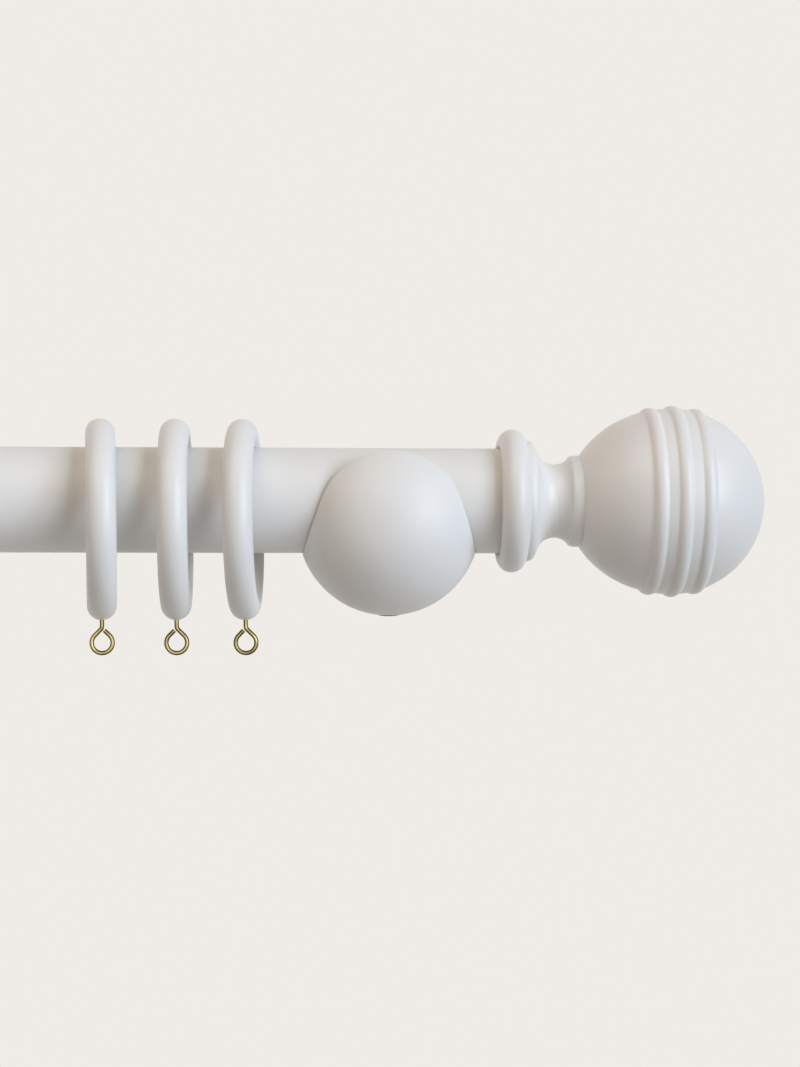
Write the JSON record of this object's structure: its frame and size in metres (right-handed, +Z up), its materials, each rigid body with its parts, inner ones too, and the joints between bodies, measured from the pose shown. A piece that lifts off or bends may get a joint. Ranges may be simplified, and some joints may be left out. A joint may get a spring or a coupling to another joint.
{
  "type": "curtain rod with brackets",
  "caption": "Painted turned-wood curtain pole on ball-shaped cup brackets, with ribbed ball finials and sliding rings whose wire screw eyes take curtain hooks.",
  "frame": {"origin": "middle of the rectangle of wall-screw holes, on the wall plane, at the height of the bracket arms", "axes": "+X along the pole, +Y into the wall, +Z up"},
  "size_m": [1.435, 0.1426, 0.1193],
  "materials": {
    "painted_wood": "eggshell off-white paint",
    "brass": "polished",
    "steel": "zinc plated"
  },
  "bodies": {
    "pole_and_brackets": {"pole": "painted_wood", "finial_left": "painted_wood", "bracket_cup_left": "painted_wood", "bracket_arm_left": "painted_wood", "wall_rose_left": "painted_wood", "finial_right": "painted_wood", "bracket_cup_right": "painted_wood", "bracket_arm_right": "painted_wood", "wall_rose_right": "painted_wood", "thread_insert_left": "brass", "thread_insert_right": "brass", "finial_dowel_screw_left": "steel", "pole_screw_left": "steel", "wall_plate_left": "steel", "rose_grub_screw_left": "steel", "finial_dowel_screw_right": "steel", "pole_screw_right": "steel", "wall_plate_right": "steel", "rose_grub_screw_right": "steel"},
    "ring_left_1_body": {"ring_left_1": "painted_wood", "screw_eye_left_1": "brass"},
    "ring_left_2_body": {"ring_left_2": "painted_wood", "screw_eye_left_2": "brass"},
    "ring_left_3_body": {"ring_left_3": "painted_wood", "screw_eye_left_3": "brass"},
    "ring_left_4_body": {"ring_left_4": "painted_wood", "screw_eye_left_4": "brass"},
    "ring_left_5_body": {"ring_left_5": "painted_wood", "screw_eye_left_5": "brass"},
    "ring_right_1_body": {"ring_right_1": "painted_wood", "screw_eye_right_1": "brass"},
    "ring_right_2_body": {"ring_right_2": "painted_wood", "screw_eye_right_2": "brass"},
    "ring_right_3_body": {"ring_right_3": "painted_wood", "screw_eye_right_3": "brass"},
    "ring_right_4_body": {"ring_right_4": "painted_wood", "screw_eye_right_4": "brass"},
    "ring_right_5_body": {"ring_right_5": "painted_wood", "screw_eye_right_5": "brass"}
  },
  "joints": [
    {"name": "ring_left_1_slide", "type": "slide", "parent": "pole_and_brackets", "child": "ring_left_1_body", "axis": [1, 0, 0], "range_m": [-0.01073, 0.05742]},
    {"name": "ring_left_2_slide", "type": "slide", "parent": "pole_and_brackets", "child": "ring_left_2_body", "axis": [1, 0, 0], "range_m": [-0.02338, 0.12522]},
    {"name": "ring_left_3_slide", "type": "slide", "parent": "pole_and_brackets", "child": "ring_left_3_body", "axis": [1, 0, 0], "range_m": [-0.03548, 0.19003]},
    {"name": "ring_left_4_slide", "type": "slide", "parent": "pole_and_brackets", "child": "ring_left_4_body", "axis": [1, 0, 0], "range_m": [-0.04072, 0.21811]},
    {"name": "ring_left_5_slide", "type": "slide", "parent": "pole_and_brackets", "child": "ring_left_5_body", "axis": [1, 0, 0], "range_m": [-0.045, 0.2411]},
    {"name": "ring_right_1_slide", "type": "slide", "parent": "pole_and_brackets", "child": "ring_right_1_body", "axis": [-1, 0, 0], "range_m": [-0.01073, 0.05742]},
    {"name": "ring_right_2_slide", "type": "slide", "parent": "pole_and_brackets", "child": "ring_right_2_body", "axis": [-1, 0, 0], "range_m": [-0.02338, 0.12522]},
    {"name": "ring_right_3_slide", "type": "slide", "parent": "pole_and_brackets", "child": "ring_right_3_body", "axis": [-1, 0, 0], "range_m": [-0.03548, 0.19003]},
    {"name": "ring_right_4_slide", "type": "slide", "parent": "pole_and_brackets", "child": "ring_right_4_body", "axis": [-1, 0, 0], "range_m": [-0.04072, 0.21811]},
    {"name": "ring_right_5_slide", "type": "slide", "parent": "pole_and_brackets", "child": "ring_right_5_body", "axis": [-1, 0, 0], "range_m": [-0.045, 0.2411]}
  ],
  "couplings": [
    {"joint": "ring_left_1_slide", "follows": "ring_left_5_slide", "ratio": 0.2381},
    {"joint": "ring_left_2_slide", "follows": "ring_left_5_slide", "ratio": 0.5193},
    {"joint": "ring_left_3_slide", "follows": "ring_left_5_slide", "ratio": 0.7881},
    {"joint": "ring_left_4_slide", "follows": "ring_left_5_slide", "ratio": 0.9046},
    {"joint": "ring_right_1_slide", "follows": "ring_right_5_slide", "ratio": 0.2381},
    {"joint": "ring_right_2_slide", "follows": "ring_right_5_slide", "ratio": 0.5193},
    {"joint": "ring_right_3_slide", "follows": "ring_right_5_slide", "ratio": 0.7881},
    {"joint": "ring_right_4_slide", "follows": "ring_right_5_slide", "ratio": 0.9046}
  ]
}
